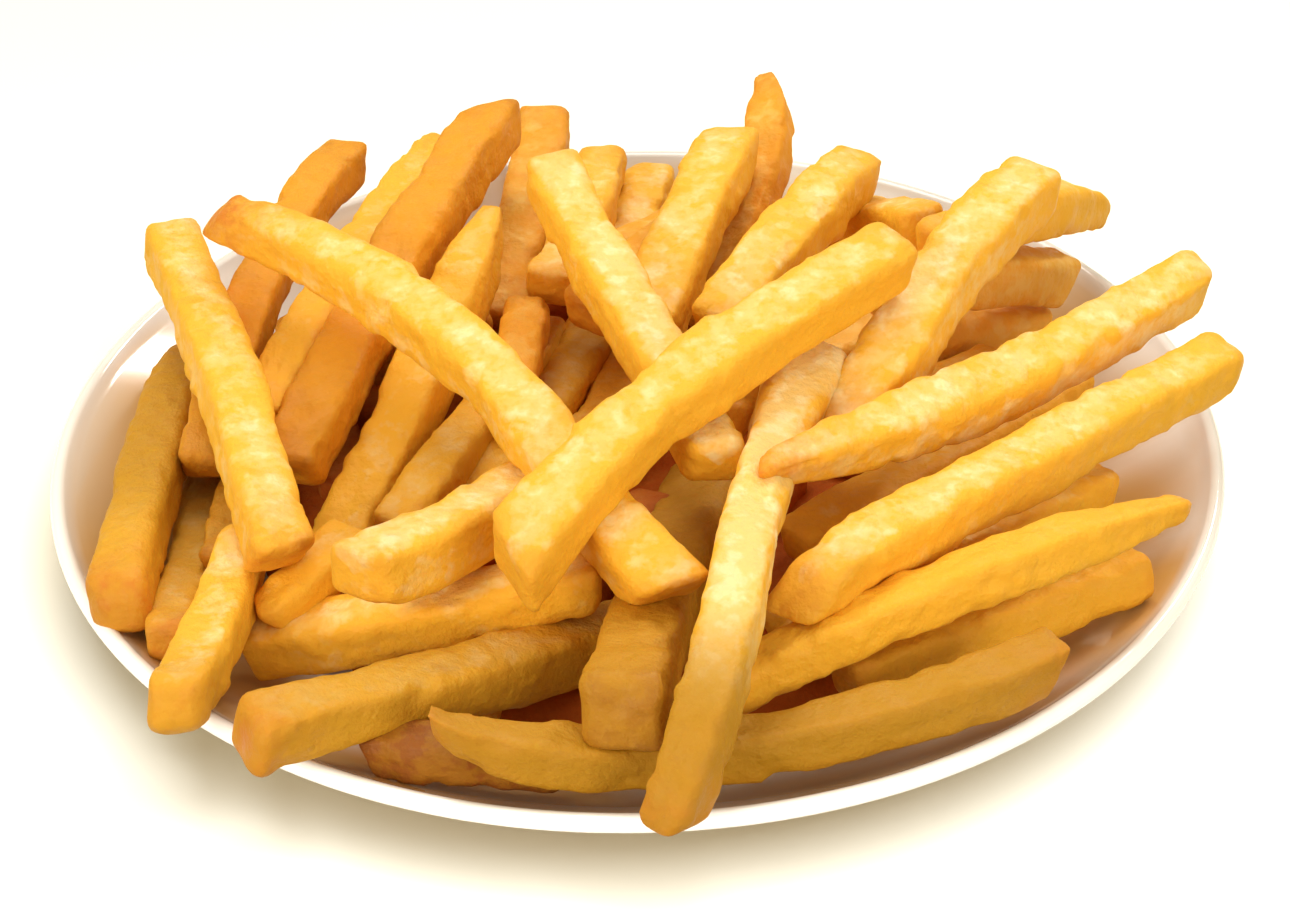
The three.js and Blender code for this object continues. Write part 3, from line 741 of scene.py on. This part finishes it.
def broken_fries():
    """Short fries bedded in the mound wherever they stay clear of the others."""
    draw = seeded_random(BROKEN_SEED)
    marks = np.linspace(0, 1, 9)
    whole = PALE_FRIES + GOLDEN_FRIES + BROWNED_FRIES + laid
    lines = [centre_curve(stick["path"], marks)[0] for stick in whole]
    broken = []
    for _ in range(BROKEN_TRIES):
        bearing = next(draw) * 2 * math.pi
        radius = 0.85 * CORE_RADIUS * math.sqrt(next(draw))
        heading = next(draw) * 2 * math.pi
        half = (BROKEN_SHORTEST + (BROKEN_LONGEST - BROKEN_SHORTEST) * next(draw)) / 2
        path = []
        for along in (-half, 0, half):
            x = radius * math.cos(bearing) + along * math.cos(heading)
            y = radius * math.sin(bearing) + along * math.sin(heading)
            path.append((x, y, core_height(math.hypot(x, y)) + BROKEN_LIFT))
        line = centre_curve(path, marks)[0]
        if np.hypot(line[:, 0], line[:, 1]).max() > CORE_RADIUS:
            continue
        gaps = np.linalg.norm(np.concatenate(lines)[:, None] - line[None], axis=2)
        if gaps.min() <= BROKEN_CLEARANCE:
            continue
        broken.append(dict(path=path, width=BROKEN_WIDTH, turn=30 * next(draw), tone_and_light=-0.3))
        lines.append(line)
        if len(broken) == BROKEN_MOST:
            break
    return broken


def core_points():
    """The mound's section, from its underside to its top."""
    outline = [(0, CORE_BASE), (CORE_RADIUS * 0.8, CORE_BASE)]
    for i in range(13):
        angle = i / 12 * math.pi / 2
        height = CORE_BASE + CORE_SKIRT + CORE_RISE * math.sin(angle)
        outline.append((CORE_RADIUS * math.cos(angle), height))
    outline[-1] = (0, outline[-1][1])
    return outline


core = turned("heap_core", core_points(), CORE_SEGMENTS)
core_co = np.array([vertex.co for vertex in core.data.vertices]) / MM
lift = sum(depth * lattice_noise(core_co, size, lot) for depth, size, lot in CORE_LUMPS)
lift *= smooth_step(CORE_BASE, CORE_BASE + 5, core_co[:, 2])
core_co[:, 2] += lift
core.data.vertices.foreach_set("co", (core_co * MM).ravel())
# The core carries the crust's marks too, all at zero.
for mark in ("near_end", "near_edge", "tone_and_light", "burn", "painted_shade"):
    core.data.attributes.new(mark, "FLOAT", "POINT")
# The core's dark red-brown is painted shade, for the deep gaps.
place_fries(core, crust_material(
    "core_painted_shade", cream=(0.50, 0.13, 0.018), pale=(0.50, 0.13, 0.018),
    gold=(0.46, 0.10, 0.013), brown=(0.32, 0.05, 0.008), browning=0.2, specular=0.05))
broken_pieces = joined_fries("broken_fries", list(enumerate(broken_fries(), 201)), coarse=1.5)
# The broken fries are dark red-brown as painted shade too.
place_fries(broken_pieces, crust_material(
    "broken_shaded_crust", cream=(0.56, 0.20, 0.03), pale=(0.52, 0.17, 0.025),
    gold=(0.48, 0.13, 0.018), brown=(0.32, 0.05, 0.008), browning=0.1, specular=0.1))


# ---------------------------------------------------------------------------
# Floor, lights and camera. A plain pale floor under soft studio lights. The food and the plate have their
# own lights, and the floor has its own, which set the place of the plate's shadow.
# ---------------------------------------------------------------------------
FLOOR_SIZE = 6.0
floor = make_object("floor", [
    (-FLOOR_SIZE, -FLOOR_SIZE, 0), (FLOOR_SIZE, -FLOOR_SIZE, 0),
    (FLOOR_SIZE, FLOOR_SIZE, 0), (-FLOOR_SIZE, FLOOR_SIZE, 0),
], [(0, 1, 2, 3)])
floor_material, floor_tree, floor_shader = new_material("pale_floor")
floor_shader.inputs["Base Color"].default_value = (0.93, 0.86, 0.68, 1)
floor_shader.inputs["Roughness"].default_value = 0.9
floor.data.materials.append(floor_material)


def area_light(name, place, aim, size, power, colour):
    """A square lamp at a place in metres, turned towards its aim."""
    data = bpy.data.lights.new(name, "AREA")
    data.size = size
    data.energy = power
    data.color = colour
    lamp = bpy.data.objects.new(name, data)
    direction = np.array(aim, float) - np.array(place, float)
    lamp.rotation_euler = Vector(direction).to_track_quat("-Z", "Y").to_euler()
    lamp.location = place
    bpy.context.scene.collection.objects.link(lamp)
    return lamp


overhead = area_light("overhead", (-0.16, 0.50, 0.98), (0, 0, 0.03), 0.5, 3.9, (1, 0.97, 0.94))
back_window = area_light("back_window", (0.43, 0.54, 0.57), (-0.09, 0.03, 0.02), 0.06, 2.0, (1, 0.97, 0.93))
back_window.data.shape = "RECTANGLE"
back_window.data.size_y = 0.26
floor_light = area_light("floor_light", (0.14, -0.62, 0.98), (0, 0, 0), 0.66, 26, (0.80, 0.87, 1))
floor_fill = area_light("floor_fill", (0.1, 0.4, 0.98), (0, 0, 0), 0.6, 2.6, (1, 0.74, 0.26))
sky_fill = area_light("sky_fill", (-0.05, 0.1, 1.1), (0, 0, 0.03), 1.4, 4.0, (1, 0.97, 0.90))
left_fill = area_light("left_fill", (-0.9, -0.85, 0.55), (0, 0, 0.03), 0.7, 9.5, (1, 0.94, 0.77))
right_fill = area_light("right_fill", (0.7, -1.0, 0.50), (0, 0, 0.03), 0.7, 7.0, (1, 0.94, 0.77))
lip_light = area_light("lip_light", (-0.1, -1.0, 0.25), (0, 0, 0.02), 0.5, 11, (1, 0.97, 0.92))
wall_light = area_light(
    "wall_light", (-0.8, -0.1, 0.55), (0.09, -0.02, 0.02), 0.4, 1.6, (1, 0.94, 0.86))
plate_only = bpy.data.collections.new("plate_only")
plate_only.objects.link(plate)
for lamp in (lip_light, wall_light):
    lamp.light_linking.receiver_collection = plate_only
wall_light.light_linking.blocker_collection = plate_only
floor_only = bpy.data.collections.new("floor_only")
floor_only.objects.link(floor)
for lamp in (floor_light, floor_fill):
    lamp.light_linking.receiver_collection = floor_only
portion_only = bpy.data.collections.new("portion_only")
for piece in (plate, pale_fries, golden_fries, browned_fries, under_fries, core, broken_pieces):
    portion_only.objects.link(piece)
for lamp in (overhead, sky_fill, back_window, left_fill, right_fill):
    lamp.light_linking.receiver_collection = portion_only
floor.visible_diffuse = False

world = bpy.data.worlds.new("studio")
bpy.context.scene.world = world
world.use_nodes = True
world_nodes, world_links = world.node_tree.nodes, world.node_tree.links
way = world_nodes.new("ShaderNodeTexCoord")
split = world_nodes.new("ShaderNodeSeparateXYZ")
world_links.new(way.outputs["Generated"], split.inputs["Vector"])
height = world_nodes.new("ShaderNodeMapRange")
height.inputs["From Min"].default_value = -0.3
world_links.new(split.outputs["Z"], height.inputs["Value"])
sky = world_nodes.new("ShaderNodeValToRGB")
sky.color_ramp.elements[0].position = 0.0
sky.color_ramp.elements[0].color = (0.30, 0.22, 0.12, 1)
sky.color_ramp.elements[1].position = 1.0
sky.color_ramp.elements[1].color = (0.42, 0.38, 0.30, 1)
horizon = sky.color_ramp.elements.new(0.35)
horizon.color = (0.60, 0.50, 0.34, 1)
world_links.new(height.outputs["Result"], sky.inputs["Fac"])
world_links.new(sky.outputs["Color"], world_nodes["Background"].inputs["Color"])
seen = world_nodes.new("ShaderNodeBackground")
seen.inputs["Color"].default_value = (1, 1, 1, 1)
rays = world_nodes.new("ShaderNodeLightPath")
choose = world_nodes.new("ShaderNodeMixShader")
world_links.new(rays.outputs["Is Camera Ray"], choose.inputs["Fac"])
world_links.new(world_nodes["Background"].outputs["Background"], choose.inputs[1])
world_links.new(seen.outputs["Background"], choose.inputs[2])
world_links.new(choose.outputs["Shader"], world_nodes["World Output"].inputs["Surface"])

CAMERA_PLACE = (0.0014, -0.4569, 0.3375)
CAMERA_FALL = 34.86
CAMERA_ROLL = -1.25
CAMERA_LENS = 90
camera_data = bpy.data.cameras.new("camera")
camera_data.lens = CAMERA_LENS
camera_data.sensor_width = 36
camera_data.clip_start = 0.01
camera = bpy.data.objects.new("camera", camera_data)
camera.location = CAMERA_PLACE
tilt = Matrix.Rotation(math.radians(90 - CAMERA_FALL), 4, "X")
roll = Matrix.Rotation(math.radians(CAMERA_ROLL), 4, "Z")
camera.matrix_world = Matrix.Translation(CAMERA_PLACE) @ tilt @ roll
bpy.context.scene.collection.objects.link(camera)
bpy.context.scene.camera = camera
bpy.context.scene.view_settings.view_transform = "Standard"

bpy.context.view_layer.update()
